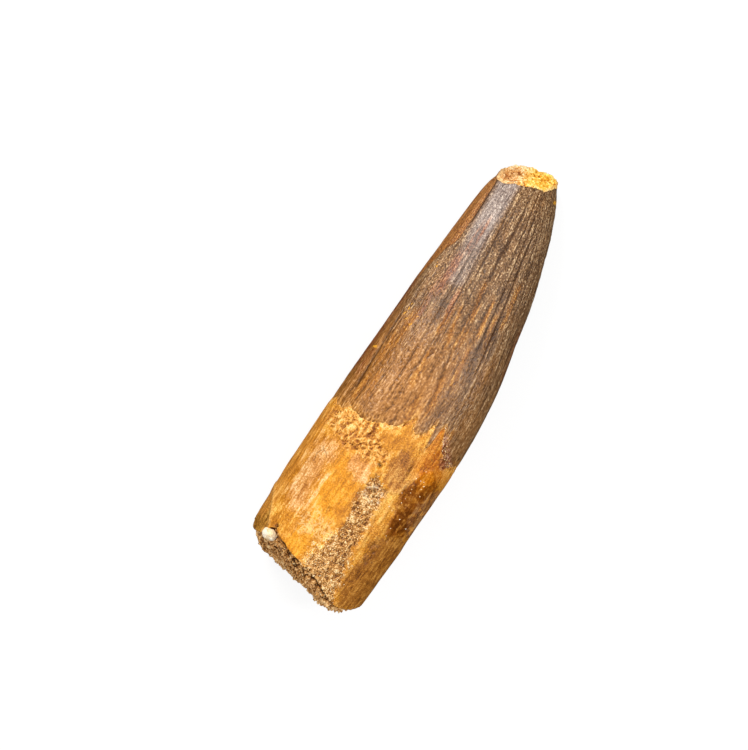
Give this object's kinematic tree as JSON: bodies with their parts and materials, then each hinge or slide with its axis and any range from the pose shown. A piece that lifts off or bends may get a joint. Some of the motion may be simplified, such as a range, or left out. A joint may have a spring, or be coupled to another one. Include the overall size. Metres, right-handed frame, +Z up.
{
  "type": "fossil spinosaurus tooth",
  "caption": "Curved conical fossil tooth with a ribbed brown enamel crown, broken tip and ochre root, lying on its side.",
  "frame": {"origin": "on the surface that the tooth lies on, under the middle of its outline", "axes": "+X along the tooth from the root's break to the broken tip, +Y towards the hollow side of its curve, +Z up"},
  "size_m": [0.0786, 0.0238, 0.019],
  "materials": {
    "fossil_tooth": "satin brown enamel over matt ochre root"
  },
  "bodies": {
    "root": {"tooth": "fossil_tooth"}
  },
  "joints": []
}
